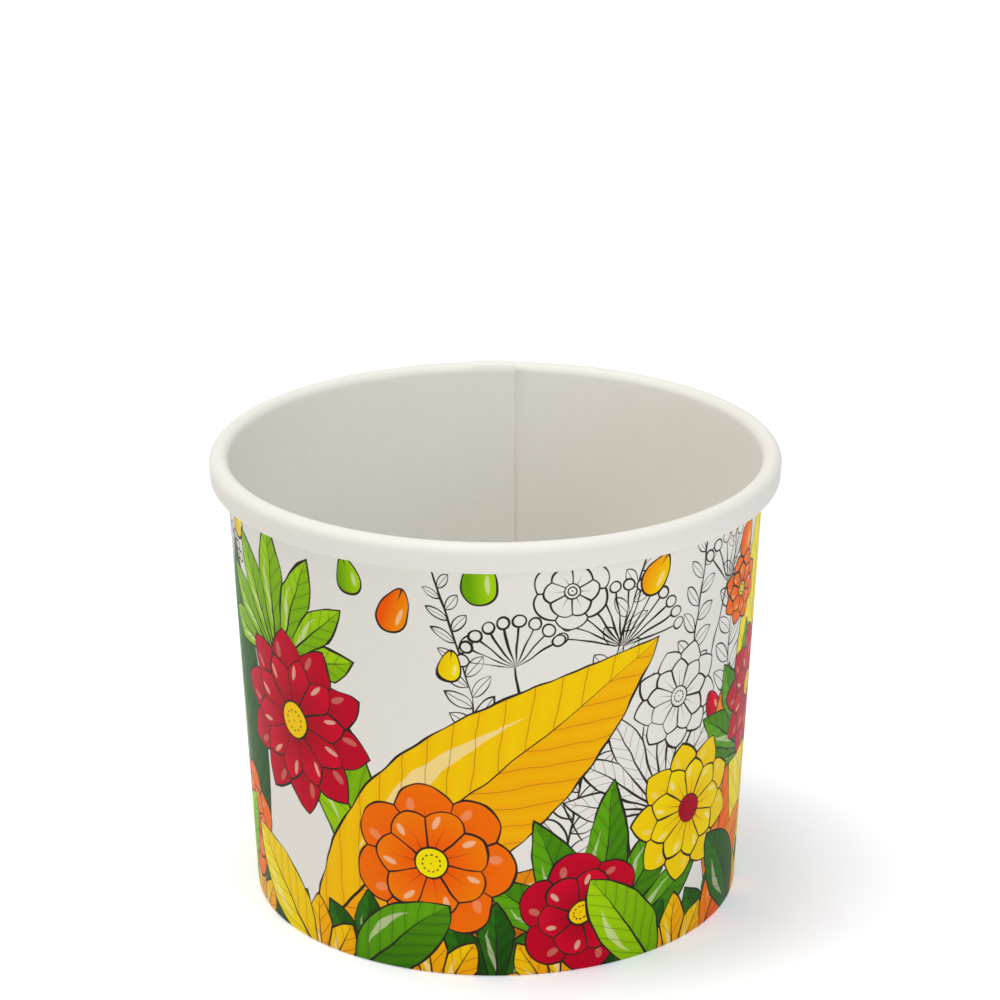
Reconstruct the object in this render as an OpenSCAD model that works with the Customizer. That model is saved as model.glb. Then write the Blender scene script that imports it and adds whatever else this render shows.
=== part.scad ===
// Paper cup for ice cream and other desserts, about 400 ml.
// A printed sheet is wrapped into a cone with a lapped side seam. Its top edge is rolled
// outward into a rim, and its lower edge is folded up inside the foot, where it grips the
// turned-down skirt of a round base.

/* [Size] */
// Height from the ground to the top of the rolled rim
cup_h = 79.7; // [50:0.1:120]
// Width over the rolled rim
rim_d = 98; // [92:0.5:120]
// Width over the wall where it meets the ground
foot_d = 84.5; // [60:0.1:88]

/* [Paper] */
// Thickness of the wall's board
wall_t = 0.45; // [0.3:0.05:0.6]
// Thickness of the base's board
base_t = 0.35; // [0.25:0.05:0.5]
// Thickness of the sealing film between two boards
seal_gap = 0.05; // [0.02:0.01:0.1]

/* [Rolled rim] */
// Width of the roll, from the inside of the wall to the outside of the rim
rim_w = 3.3; // [2.6:0.1:4.2]
// Height of the roll
rim_h = 5.2; // [4.6:0.1:9]
// Drop from the top of the rim to the sheet's edge, which ends inside the roll
edge_drop = 2; // [1.6:0.1:2.2]
// Gap between the tucked edge and the wall
roll_gap = 0.1; // [0.05:0.05:0.3]

/* [Side seam] */
// Width over which the two ends of the sheet overlap
lap_w = 7; // [4:0.5:12]
// Width over which the sheet climbs onto its own end
ramp_w = 3; // [1.5:0.5:5]
// Direction of the seam, seen from above
seam_at = 90; // [0:5:355]
// How far the pressed lap stands proud of the rolled rim
rim_swell = 0.2; // [0.1:0.05:0.4]

/* [Foot and base] */
// Height of the base's underside above the ground
base_up = 9; // [6:0.5:20]
// Drop from the base's underside to the top of the folded hem
hem_drop = 2; // [1.5:0.5:4]
// Gap between the skirt's lower edge and the fold under it
skirt_gap = 0.3; // [0.1:0.1:1]
// Radius inside each of the fold's two creases
crease_r = 0.06; // [0.02:0.01:0.1]
// Radius inside the bend between the base and its skirt
bend_r = 0.6; // [0.2:0.1:1.2]

/* [Hidden] */
$fn = 120;

// The wall's line starts at the foot and leans out by the angle slant. Places along and
// across it are v, upward from the ground, and u, outward from the wall's outer face.
foot_r = foot_d / 2;
roll_r = rim_w / 2;
roll_at = [rim_d / 2 - roll_r, cup_h - roll_r];
roll_u = roll_r - wall_t;
roll_reach = norm(roll_at - [foot_r, 0]);
slant = atan2(roll_at[0] - foot_r, roll_at[1]) - asin(roll_u / roll_reach);
roll_v = sqrt(pow(roll_reach, 2) - pow(roll_u, 2));

// The roll is two half turns of the sheet with a straight flank between them
curl_r = (rim_w - wall_t - roll_gap) / 2;
flank_run = rim_h - roll_r - curl_r;
roll_foot_v = roll_v + roll_r - rim_h;

// The fold under the foot: a crease on each side of a narrow flat ring
fold_r = crease_r + wall_t;
crease_mid_r = crease_r + wall_t / 2;
stack_t = 2 * wall_t + 2 * seal_gap + base_t;
fold_out = foot_r - fold_r * (1 - sin(slant)) / cos(slant);
fold_in = foot_r + (fold_r * (1 + sin(slant)) - stack_t) / cos(slant);
wall_v = (fold_out - foot_r) * sin(slant) + fold_r * cos(slant);
hem_v = (fold_in - foot_r) * sin(slant) + fold_r * cos(slant);
hem_top_v = (base_up - hem_drop) / cos(slant);

// The base's bend lies between the flat disc and the skirt, which runs along the wall
skirt_u = -wall_t - seal_gap - base_t / 2;
bend_mid_r = bend_r + base_t / 2;
bend_z = base_up - bend_r;
bend_x = foot_r + (skirt_u - bend_mid_r + bend_z * sin(slant)) / cos(slant);
bend_v = (bend_x - foot_r) * sin(slant) + bend_z * cos(slant);
skirt_v = (wall_t + skirt_gap) / cos(slant);

// A round wedge of a ring, from one angle to another
module ring_wedge(r, t, from, to) {
    reach = 2 * (r + t);
    intersection() {
        difference() {
            circle(r + t / 2);
            circle(r - t / 2);
        }
        polygon([[0, 0], for (k = [0:3]) let (a = from + (to - from) * k / 3) reach * [cos(a), sin(a)]]);
    }
}

// A bent sheet, seen on its edge. It starts at the origin and runs along +Y. Each step is a
// straight run, [length], or a bend, [angle, radius], which is to the left if positive. A
// small block in the middle of the board ties each end of a bend to the run beside it.
module bent_sheet(steps, t, k = 0) {
    if (k < len(steps)) {
        step = steps[k];
        if (len(step) == 1) {
            translate([-t / 2, 0]) square([t, step[0]]);
            translate([0, step[0]]) bent_sheet(steps, t, k + 1);
        } else {
            side = sign(step[0]);
            start = side > 0 ? 0 : 180;
            square(t / 2, center = true);
            translate([-side * step[1], 0]) {
                ring_wedge(step[1], t, min(start, start + step[0]), max(start, start + step[0]));
                rotate(step[0]) translate([side * step[1], 0]) {
                    square(t / 2, center = true);
                    bent_sheet(steps, t, k + 1);
                }
            }
        }
    }
}

// The printed sheet, cut through the cup's axis: fold, wall and rolled rim, then the hem
module sheet_section() {
    translate([fold_in, wall_t / 2]) rotate(-90)
        bent_sheet([
            [fold_out - fold_in],
            [90 - slant, crease_mid_r],
            [roll_v - wall_v],
            [-180, roll_r - wall_t / 2],
            [flank_run],
            [-180, curl_r - wall_t / 2],
            [rim_h - curl_r - edge_drop]
        ], wall_t);
    translate([fold_in, wall_t / 2]) rotate(90)
        bent_sheet([[-90 - slant, crease_mid_r], [hem_top_v - hem_v]], wall_t);
}

// A straight band that follows the wall's slant, from u0 to u1 across and v0 to v1 along it
module slant_band(u0, u1, v0, v1) {
    translate([foot_r, 0]) rotate(-slant) translate([u0, v0]) square([u1 - u0, v1 - v0]);
}

// How far the round wall has fallen back at a distance across from the seam's middle
function fall(across) = foot_r - sqrt(pow(foot_r, 2) - pow(across, 2));

// The angle at the cup's axis that reaches that far to both sides of the seam's middle
function angle_over(across, radius) = 2 * asin(across / radius);

// A block that stands on the wall's slant at the seam, with its outline given as [u, across]
module seam_block(outline, v0, v1) {
    translate([foot_r, 0, 0]) rotate([0, slant, 0]) translate([0, 0, v0])
        linear_extrude(v1 - v0) polygon(outline);
}

// What is inside, turned about the cup's axis through an angle, with the seam at its middle
module seam_arc(span) {
    rotate([0, 0, -span / 2]) rotate_extrude(angle = span) children();
}

lap_end = lap_w / 2;
ramp_end = lap_end + ramp_w;
deep = 4 * wall_t;

// The swelling starts this many degrees round the rim's first half turn and ends this many
// round its second
swell_from = 40;
swell_to = 120;

// The upper end of the sheet lies on the lower one across the lap and slopes down beside it
lap_outline = [
    [-deep, -ramp_end],
    [-fall(ramp_end), -ramp_end],
    [wall_t - fall(lap_end), -lap_end],
    [deep, -lap_end],
    [deep, lap_end],
    [-deep, lap_end]
];

// Inside the cup the lower end's raw edge shows in a shallow groove under that slope, with a
// bead of sealing film left in its corner
groove_outline = [
    [-wall_t - fall(ramp_end), -ramp_end],
    [-wall_t - fall(ramp_end), -lap_end],
    [-fall(lap_end) - seal_gap, -lap_end]
];

// The overlap of the sheet's two ends on the wall, thicker by one sheet
module wall_lap() {
    v0 = wall_v;
    v1 = roll_foot_v - roll_gap;
    intersection() {
        seam_arc(angle_over(ramp_end + wall_t, foot_r)) slant_band(-wall_t / 2, wall_t, v0, v1);
        seam_block(lap_outline, v0 - wall_t, v1 + wall_t);
    }
}

// The same overlap on the hem, where it shows on the side of the axis
module hem_lap() {
    seam_arc(angle_over(lap_end, foot_r - stack_t))
        slant_band(-stack_t - wall_t, -stack_t + wall_t / 2, fold_r, hem_top_v);
}

// The same overlap on the rolled rim, pressed down to a slight swelling of its outer face.
// The swelling reaches from the middle of the board outward, so its own middle lies farther
// from the roll's centres than the face does, by shift.
module rim_lap() {
    thick = wall_t / 2 + rim_swell;
    shift = rim_swell / 2 - wall_t / 4;
    seam_arc(angle_over(lap_end, rim_d / 2))
        translate([foot_r, 0]) rotate(-slant) translate([roll_u, roll_v])
            rotate(-swell_from) translate([-roll_r - shift, 0])
                bent_sheet([
                    [swell_from - 180, roll_r + shift],
                    [flank_run],
                    [-swell_to, curl_r + shift]
                ], thick);
}

module sidewall() {
    color("ivory") difference() {
        union() {
            rotate_extrude() sheet_section();
            rotate([0, 0, seam_at]) {
                wall_lap();
                hem_lap();
                rim_lap();
            }
        }
        rotate([0, 0, seam_at]) seam_block(groove_outline, wall_v, roll_v);
    }
}

module base_disc() {
    color("white") rotate_extrude()
        translate([0, base_up + base_t / 2]) rotate(-90)
            bent_sheet([[bend_x], [-90 - slant, bend_mid_r], [bend_v - skirt_v]], base_t);
}

sidewall();
base_disc();
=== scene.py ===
# %% [markdown]
# # A printed paper dessert cup
# The real cup is two pieces of coated board. A printed sheet is wrapped into a cone and sealed
# down one side, and its two edges are finished by bending: the upper one is rolled outward into
# a rim, the lower one is folded up inside the foot. A round base with a turned-down skirt sits
# in that fold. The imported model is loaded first, because it fixes every size and place here.

import math

import bmesh
import bpy
from mathutils import Matrix, Vector


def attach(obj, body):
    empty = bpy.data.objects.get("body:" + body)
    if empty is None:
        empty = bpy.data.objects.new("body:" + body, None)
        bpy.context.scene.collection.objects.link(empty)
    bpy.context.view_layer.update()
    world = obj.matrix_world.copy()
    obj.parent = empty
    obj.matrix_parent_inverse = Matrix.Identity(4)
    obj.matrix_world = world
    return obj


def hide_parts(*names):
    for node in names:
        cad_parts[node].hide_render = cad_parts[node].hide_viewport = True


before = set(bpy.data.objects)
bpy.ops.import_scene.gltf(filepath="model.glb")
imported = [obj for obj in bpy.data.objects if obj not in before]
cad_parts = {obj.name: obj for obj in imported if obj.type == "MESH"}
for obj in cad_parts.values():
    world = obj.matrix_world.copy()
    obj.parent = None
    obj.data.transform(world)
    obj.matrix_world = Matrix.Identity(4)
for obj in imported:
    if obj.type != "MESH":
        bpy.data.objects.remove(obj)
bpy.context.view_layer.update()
print("solids:", ", ".join(sorted(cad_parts)))

# %% [markdown]
# ## The camera
# The picture is taken from a little above the rim, about 0.68 m away, with a long lens, so the
# cup's sides stay nearly parallel and the far rim shows over the near one. The place and lens
# come from fitting the cup's outline, so they are set as numbers and not aimed by eye.

# %% Set up the camera
def add_object(name, data):
    """Makes an object of the data and puts it in the scene."""
    made = bpy.data.objects.new(name, data)
    bpy.context.scene.collection.objects.link(made)
    return made


camera_place = (0.0, -0.6158, 0.2920)
camera_dip = 0.34617
camera_data = bpy.data.cameras.new("camera")
camera_data.sensor_width = 36.0
camera_data.lens = 136.85
camera_data.clip_end = 50.0
camera = add_object("camera", camera_data)
camera.location = camera_place
camera.rotation_euler = (math.pi / 2 - camera_dip, 0.00142, -0.00178)
bpy.context.scene.camera = camera
bpy.context.scene.view_settings.view_transform = "Standard"
print("lens:", camera_data.lens, "mm")

# %% [markdown]
# ## Light and ground
# A white product picture needs an even light that still shows the round of the wall. The main
# lamp hangs overhead, so the rim is the brightest part and shades the wall just below it. It
# hangs a little to the left, which sends a soft shadow to the right. The other three stand round
# the cup and fill its sides, the left one with a warmer light. The ground would have to be very
# bright to come out white, so it has a little added glow that shows only where the ground is
# seen or mirrored: the glow doesn't light the cup, and the shadow stays.

# %% Helpers that make nodes and feed their sockets
def tree_of(*values):
    """The node tree that the first socket among the values belongs to."""
    return next(value.id_data for value in values if isinstance(value, bpy.types.NodeSocket))


def feed(value, socket):
    """Links a node's output to the socket, or writes a plain value on it."""
    if isinstance(value, bpy.types.NodeSocket):
        tree_of(socket).links.new(value, socket)
    else:
        socket.default_value = value


def node(tree, kind, settings=None, **values):
    """Adds a node, sets its options, and feeds the named inputs, with _ for a blank in a name."""
    made = tree.nodes.new(kind)
    for name, setting in (settings or {}).items():
        setattr(made, name, setting)
    for name, value in values.items():
        feed(value, made.inputs[name.replace("_", " ")])
    return made


def calc(operation, *values, clamp=False):
    """One step of arithmetic on numbers and sockets, in the tree of the sockets."""
    made = node(tree_of(*values), "ShaderNodeMath", {"operation": operation, "use_clamp": clamp})
    for value, socket in zip(values, made.inputs):
        feed(value, socket)
    return made.outputs[0]


def times(a, b):
    return calc("MULTIPLY", a, b)


def times_plus(a, b, c, clamp=False):
    """a times b, plus c."""
    return calc("MULTIPLY_ADD", a, b, c, clamp=clamp)


def minus(a, b):
    return calc("SUBTRACT", a, b)


def over(a, b):
    return calc("DIVIDE", a, b)


def calc_place(operation, *values):
    """Arithmetic on places. Its outputs are a place, "Vector", and a number, "Value"."""
    made = node(tree_of(*values), "ShaderNodeVectorMath", {"operation": operation})
    for value, socket in zip(values, made.inputs):
        feed(value, socket)
    return made.outputs


# %% The world: white where it is seen or mirrored, and a faint fill as light
def seen_or_mirrored(tree):
    """1 where the camera sees a thing, straight or mirrored, and 0 where it only gives light."""
    path = node(tree, "ShaderNodeLightPath").outputs
    mirrored = calc("MAXIMUM", path["Is Glossy Ray"], path["Is Transmission Ray"])
    return calc("MAXIMUM", path["Is Camera Ray"], mirrored)


world = bpy.data.worlds.new("studio")
world.use_nodes = True
bpy.context.scene.world = world
sky = world.node_tree
sky.nodes.clear()
fill_light = node(sky, "ShaderNodeBackground", Color=(1.0, 0.99, 0.97, 1.0), Strength=0.32)
white_back = node(sky, "ShaderNodeBackground", Color=(1.0, 1.0, 1.0, 1.0), Strength=1.0)
either = node(sky, "ShaderNodeMixShader", Fac=seen_or_mirrored(sky))
feed(fill_light.outputs[0], either.inputs[1])
feed(white_back.outputs[0], either.inputs[2])
node(sky, "ShaderNodeOutputWorld", Surface=either.outputs[0])

# %% The lamps
def softbox(name, place, target, width, height, watts, tint):
    """A rectangular lamp that points from its place to a target."""
    data = bpy.data.lights.new(name, "AREA")
    data.shape = "RECTANGLE"
    data.size = width
    data.size_y = height
    data.energy = watts
    data.color = tint
    lamp = add_object(name, data)
    lamp.location = place
    lamp.rotation_euler = (Vector(target) - Vector(place)).to_track_quat("-Z", "Y").to_euler()


cup_middle = (0.0, 0.0, 0.04)
softbox("overhead", (-0.18, 0.0, 1.22), cup_middle, 0.47, 0.47, 6.6, (1.0, 0.99, 0.97))
softbox("left", (-0.85, 0.0, 0.8), cup_middle, 0.7, 0.7, 2.4, (1.0, 0.92, 0.77))
softbox("front_low", (0.0, -1.25, 0.25), cup_middle, 0.9, 0.5, 2.3, (1.0, 0.97, 0.93))
softbox("right_front", (0.8, -0.8, 0.6), cup_middle, 0.7, 0.7, 3.1, (0.96, 1.0, 1.03))

# %% The ground
ground_mesh = bmesh.new()
bmesh.ops.create_grid(ground_mesh, x_segments=1, y_segments=1, size=3.0)
ground_data = bpy.data.meshes.new("ground")
ground_mesh.to_mesh(ground_data)
ground_mesh.free()
ground = add_object("ground", ground_data)

ground_paint = bpy.data.materials.new("pale_ground")
ground_paint.use_nodes = True
tree = ground_paint.node_tree
tree.nodes.clear()
matt = node(tree, "ShaderNodeBsdfDiffuse", Color=(0.88, 0.89, 0.915, 1.0))
here = node(tree, "ShaderNodeTexCoord").outputs["Object"]
glow_strength = node(tree, "ShaderNodeMapRange", {"interpolation_type": "SMOOTHSTEP"})
feed(calc_place("LENGTH", here)["Value"], glow_strength.inputs["Value"])
near_and_far = {"From Min": 0.2, "From Max": 1.6, "To Min": 0.39, "To Max": 1.12}
for name, value in near_and_far.items():
    feed(value, glow_strength.inputs[name])
seen_glow = times(seen_or_mirrored(tree), glow_strength.outputs["Result"])
glow = node(tree, "ShaderNodeEmission", Color=(0.9, 0.925, 1.0, 1.0), Strength=seen_glow)
both = node(tree, "ShaderNodeAddShader")
feed(matt.outputs[0], both.inputs[0])
feed(glow.outputs[0], both.inputs[1])
node(tree, "ShaderNodeOutputMaterial", Surface=both.outputs[0])
ground_data.materials.append(ground_paint)

# %% [markdown]
# ## The sizes of the boards
# The sizes are those of the solid model, in millimetres: everything is drawn in millimetres and
# made smaller by a thousand at the very end. The wall leans out by a small angle, so places on
# it are given along the slant. The lines that work out the bends are the same as in the model's
# source, so both describe one sheet.

# %% Sizes in millimetres
cup_h = 79.7
rim_d = 98.0
foot_d = 84.5
wall_t = 0.45
base_t = 0.35
seal_gap = 0.05
rim_w = 3.3
rim_h = 5.2
edge_drop = 2.0
roll_gap = 0.1
lap_w = 7.0
ramp_w = 3.0
rim_swell = 0.2
base_up = 9.0
hem_drop = 2.0
skirt_gap = 0.3
crease_r = 0.06
bend_r = 0.6

# %% Places that follow from the sizes
foot_r = foot_d / 2
roll_r = rim_w / 2
roll_x = rim_d / 2 - roll_r
roll_z = cup_h - roll_r
roll_u = roll_r - wall_t
roll_reach = math.hypot(roll_x - foot_r, roll_z)
slant = math.atan2(roll_x - foot_r, roll_z) - math.asin(roll_u / roll_reach)
roll_v = math.sqrt(roll_reach**2 - roll_u**2)
curl_r = (rim_w - wall_t - roll_gap) / 2
flank_run = rim_h - roll_r - curl_r
roll_foot_v = roll_v + roll_r - rim_h
fold_r = crease_r + wall_t
crease_mid_r = crease_r + wall_t / 2
stack_t = 2 * wall_t + 2 * seal_gap + base_t
fold_out = foot_r - fold_r * (1 - math.sin(slant)) / math.cos(slant)
fold_in = foot_r + (fold_r * (1 + math.sin(slant)) - stack_t) / math.cos(slant)
wall_v = (fold_out - foot_r) * math.sin(slant) + fold_r * math.cos(slant)
hem_v = (fold_in - foot_r) * math.sin(slant) + fold_r * math.cos(slant)
hem_top_v = (base_up - hem_drop) / math.cos(slant)
skirt_u = -wall_t - seal_gap - base_t / 2
bend_mid_r = bend_r + base_t / 2
bend_z = base_up - bend_r
bend_x = foot_r + (skirt_u - bend_mid_r + bend_z * math.sin(slant)) / math.cos(slant)
bend_v = (bend_x - foot_r) * math.sin(slant) + bend_z * math.cos(slant)
skirt_v = (wall_t + skirt_gap) / math.cos(slant)
print("the wall leans out by", round(math.degrees(slant), 3), "degrees")

# %% [markdown]
# ## A sheet of board, seen on its edge
# A rolled rim could be a torus and the wall a cone, but their joints would show. The real sheet
# is one strip that is bent, so its section is made the same way: a short edge, as long as the
# board is thick, is pushed along the straight runs and turned round the bends, a little at a
# time. Each point notes how far along the sheet it lies, which face it is on, and which way out
# is, because the print, the seam and the ribs need to know.

# %% Grow a section by straight runs and bends
def sort_by_place(items, place_of):
    """Puts points or faces in the order of their places."""
    for number, item in enumerate(sorted(items, key=place_of)):
        item.index = number
    items.sort()


class Section:
    """A strip of board in the XZ plane. It starts as one edge across the board's thickness."""

    def __init__(self, x, z, thick, heading):
        self.mesh = bmesh.new()
        layers = self.mesh.verts.layers.float
        names = ("along", "face", "out_x", "out_z")
        for name in names:
            layers.new(name)
        self.notes = {name: layers[name] for name in names}
        self.thick = thick
        left = self.left_of(heading)
        ends = []
        for face in (1.0, -1.0):
            place = Vector((x, 0, z)) - left * face * thick / 2
            vert = self.mesh.verts.new(place)
            vert[self.notes["face"]] = face
            ends.append(vert)
        self.first = self.mesh.edges.new(ends)
        self.begin(heading)

    def left_of(self, heading):
        return Vector((-math.sin(heading), 0, math.cos(heading)))

    def begin(self, heading, flip=1.0):
        """Goes back to the first edge, to grow the strip the other way."""
        self.end = self.first
        self.heading = heading
        self.flip = flip
        self.along = 0.0
        self.note()

    def note(self):
        left = self.left_of(self.heading) * self.flip
        for vert in self.end.verts:
            face = vert[self.notes["face"]]
            vert[self.notes["along"]] = self.along
            vert[self.notes["out_x"]] = -left.x * face
            vert[self.notes["out_z"]] = -left.z * face

    def extrude(self):
        made = bmesh.ops.extrude_edge_only(self.mesh, edges=[self.end])["geom"]
        ends = [item for item in made if isinstance(item, bmesh.types.BMVert)]
        self.end = self.mesh.edges.get(ends)
        return ends

    def run(self, length, parts=1):
        """Pushes the end edge straight ahead."""
        step = Vector((math.cos(self.heading), 0, math.sin(self.heading))) * length / parts
        for _ in range(parts):
            bmesh.ops.translate(self.mesh, verts=self.extrude(), vec=step)
            self.along += self.flip * length / parts
            self.note()

    def bend(self, angle, radius, parts):
        """Turns the end edge round a bend, to the left where the angle is positive."""
        side = math.copysign(1.0, angle)
        middle = sum((v.co for v in self.end.verts), Vector()) / 2
        centre = middle + self.left_of(self.heading) * side * radius
        turn = Matrix.Rotation(-angle / parts, 3, "Y")
        for _ in range(parts):
            bmesh.ops.rotate(self.mesh, cent=centre, matrix=turn, verts=self.extrude())
            self.heading += angle / parts
            self.along += self.flip * radius * abs(angle) / parts
            self.note()

    def outline(self, open_at_axis=False):
        """Keeps only the strip's outline, and leaves out the end that lies on the axis."""
        rungs = [e for e in self.mesh.edges if len(e.link_faces) == 2]
        if open_at_axis:
            rungs += [e for e in self.mesh.edges if all(v.co.x < 1e-6 for v in e.verts)]
        bmesh.ops.delete(self.mesh, geom=self.mesh.faces[:], context="FACES_ONLY")
        bmesh.ops.delete(self.mesh, geom=rungs, context="EDGES")
        return self.mesh

    def turn_about_axis(self, columns):
        """Spins the outline about the cup's axis into a closed shell."""
        geom = self.mesh.verts[:] + self.mesh.edges[:]
        bmesh.ops.spin(
            self.mesh,
            geom=geom,
            cent=(0, 0, 0),
            axis=(0, 0, 1),
            angle=math.tau,
            steps=columns,
            use_merge=True,
        )
        bmesh.ops.remove_doubles(self.mesh, verts=self.mesh.verts, dist=0.0005)
        bmesh.ops.recalc_face_normals(self.mesh, faces=self.mesh.faces)
        # The spin leaves points and faces in a new order each time, so both are sorted by place.
        sort_by_place(self.mesh.verts, lambda vert: vert.co[:])
        sort_by_place(self.mesh.faces, lambda face: face.calc_center_median()[:])


# %% [markdown]
# ## The printed sheet
# The sheet's section starts in the narrow flat ring that stands on the ground. One way it goes
# up the wall and round the roll, the other way it goes up inside the foot as the hem. The roll
# is two half turns with a straight flank between them, and the sheet's edge ends inside it.

# %% Draw the printed sheet's section and spin it
columns = 480
lap_fade = 0.7  # the seam's outer step sinks into the board over this height below the rim
sheet = Section(fold_in, wall_t / 2, wall_t, 0.0)
sheet.run(fold_out - fold_in)
ground_along = sheet.along
sheet.bend(math.pi / 2 - slant, crease_mid_r, 8)
wall_start = sheet.along
sheet.run(roll_foot_v - lap_fade - wall_v, 15)
sheet.run(lap_fade - roll_gap)
sheet.run(roll_v - roll_foot_v + roll_gap)
roll_start = sheet.along
sheet.bend(-math.pi, roll_r - wall_t / 2, 18)
sheet.run(flank_run, 2)
curl_start = sheet.along
sheet.bend(-math.pi, curl_r - wall_t / 2, 14)
sheet.run(rim_h - curl_r - edge_drop)
sheet.begin(math.pi, -1.0)
sheet.bend(-math.pi / 2 - slant, crease_mid_r, 8)
hem_start = sheet.along
sheet.run(hem_top_v - hem_v, 10)
hem_end = sheet.along
sheet.outline()
sheet.turn_about_axis(columns)
print("sheet, from edge to edge:", round(roll_start - hem_end, 1), "mm up to the roll")
print("faces after the spin:", len(sheet.mesh.faces))

# %% [markdown]
# ## The side seam
# The sheet's two ends overlap at the back. Outside, the upper end shows as a raw edge with one
# board's height, and on its other side the board slopes down again. Inside, the lower end's
# raw edge shows in a shallow groove. A separate strip laid over the wall would hide that the
# seam runs on into the rim and the hem, so the spun shell itself is shaped: two columns of
# points move close together at each raw edge, and the points between them are pushed out.

# %% Columns that stand beside the seam
# Counted in columns from the seam's middle, the raw edge outside stands between 6 and 7, the
# one inside between -7 and -6, and the slope beside it starts at -11.
column_step = math.tau / columns
lap_end = lap_w / 2
ramp_end = lap_end + ramp_w
edge_gap = 0.03
outer_edge, inner_edge, slope_foot = 6, -6, -11
first_moved, last_moved = -13, 9


def column_of(vert):
    """Counts the columns from the seam's middle, and is positive towards -X."""
    angle = math.atan2(vert.co.y, vert.co.x) - math.pi / 2
    angle = (angle + math.pi) % math.tau - math.pi
    return round(angle / column_step)


def distance_beside_seam(column, radius):
    """How far a column stands to the side of the seam's middle, in millimetres."""
    knots = (
        (first_moved, radius * math.sin(first_moved * column_step)),
        (slope_foot, -ramp_end),
        (inner_edge - 1, -lap_end - edge_gap),
        (inner_edge, -lap_end),
        (outer_edge, lap_end),
        (outer_edge + 1, lap_end + edge_gap),
        (last_moved, radius * math.sin(last_moved * column_step)),
    )
    for (low, start), (high, end) in zip(knots, knots[1:]):
        if low <= column <= high:
            return start + (end - start) * (column - low) / (high - low)
    return radius * math.sin(column * column_step)


def between(value, low, high):
    """0 below low, 1 above high, and a straight rise between them."""
    return min(1.0, max(0.0, (value - low) / (high - low)))


# %% How far the seam pushes a point out of the board
# Where the lap, the groove and the swelling start and stop: millimetres along the sheet, or
# radians round a bend of the roll
seam_up_fold = 0.2
groove_stop = (0.0, 0.7)
swell_start = (0.4, 1.0)
swell_stop = (1.7, 2.3)
swell_slope = 1.5
swell_reach = 12


def seam_push(column, across, along, printed):
    """Millimetres outward from the middle of the board, on the face that the point is on."""
    if column < slope_foot or column > swell_reach:
        return 0.0
    slope = between(across, -ramp_end, -lap_end)
    if printed:
        over_fold = between(along, ground_along + seam_up_fold, wall_start)
        under_rim = 1 - between(along, under_rim_along - lap_fade + roll_gap, under_rim_along)
        on_hem = between(-along, seam_up_fold, -hem_start)
        height = max(over_fold * under_rim, on_hem)
        return wall_t * slope * height if column <= outer_edge else 0.0
    roll_turn = (along - roll_start) / (roll_r - wall_t / 2)
    curl_turn = (along - curl_start) / (curl_r - wall_t / 2)
    in_cup = between(along, wall_start, wall_start + 1) * (1 - between(roll_turn, *groove_stop))
    groove = -(wall_t - seal_gap) * slope * in_cup if column < inner_edge else 0.0
    swell = rim_swell * between(roll_turn, *swell_start) * (1 - between(curl_turn, *swell_stop))
    swell *= 1 - between(across, lap_end, lap_end + swell_slope)
    return groove + (swell if column >= inner_edge else 0.0)


# %% [markdown]
# ## The ribs on the hem
# A toothed wheel presses the hem, the skirt and the wall together, and its teeth leave upright
# grooves on the hem inside the foot. Seen from below they are as plain as the seam, so they
# are made in the shell: of every four columns two are pressed in by a tenth of a millimetre.

# %% Shape the seam and the ribs in one walk over the points
rib_depth = 0.11
rib_columns = 4
rib_start, rib_stop = (0.08, 0.2), (0.8, 0.92)


def rib_push(column, along):
    """How far the toothed wheel presses a point of the hem in. Each rib fades at both ends."""
    up_hem = (along - hem_start) / (hem_end - hem_start)
    pressed = between(up_hem, *rib_start) * (1 - between(up_hem, *rib_stop))
    return -rib_depth * pressed if column % rib_columns < rib_columns / 2 else 0.0


along, face_side = sheet.notes["along"], sheet.notes["face"]
out_x, out_z = sheet.notes["out_x"], sheet.notes["out_z"]
under_rim_along = roll_start - (roll_v - roll_foot_v + roll_gap)
seam_column = {}
for vert in sheet.mesh.verts:
    radius = math.hypot(vert.co.x, vert.co.y)
    column = column_of(vert)
    seam_column[vert] = column
    across = distance_beside_seam(column, radius)
    printed = vert[face_side] > 0
    push = seam_push(column, across, vert[along], printed)
    if printed:
        push += rib_push(column, vert[along])
    beside_seam = first_moved <= column <= last_moved
    angle = math.asin(across / radius) if beside_seam else column * column_step
    radius += vert[out_x] * push
    vert.co.x = -radius * math.sin(angle)
    vert.co.y = radius * math.cos(angle)
    vert.co.z += vert[out_z] * push
print("ribs round the hem:", columns // rib_columns)

# %% [markdown]
# ## The blank's own map
# The artwork is printed on the flat sheet before it is wrapped, so its pattern is drawn on a
# map of that sheet, in millimetres: to the right round the cup from the front, and up from the
# ground. Object coordinates would smear a drawing down the slope of the wall. A second map lays
# the same faces out without overlap, for programs that want the colours baked to a picture.

# %% Faces of the shell, their finish and their place on the maps
art_radius = 44.0
art_strips = 6
art_repeats = 2
unprinted, coated_side, cut_edge = art_strips, art_strips + 1, art_strips + 2
wrap_skew = 0.002  # the sheet is wrapped a little askew, so the print steps at the seam
print_on_hem = 1.2
flat_map = sheet.mesh.loops.layers.uv.new("Blank")
bake_map = sheet.mesh.loops.layers.uv.new("OFBake")
sheet_end = max(vert[along] for vert in sheet.mesh.verts)
print_end = hem_start - print_on_hem


def turn_from_front(vert, middle_column):
    """The angle from the front, positive to the right. It is cut at the seam's raw edge."""
    angle = math.atan2(vert.co.x, -vert.co.y)
    quarter = columns / 4
    cut = outer_edge + 0.5
    if -quarter < middle_column < cut:
        return angle % math.tau
    if cut <= middle_column < quarter:
        return (angle % math.tau) - math.tau
    return angle


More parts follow.
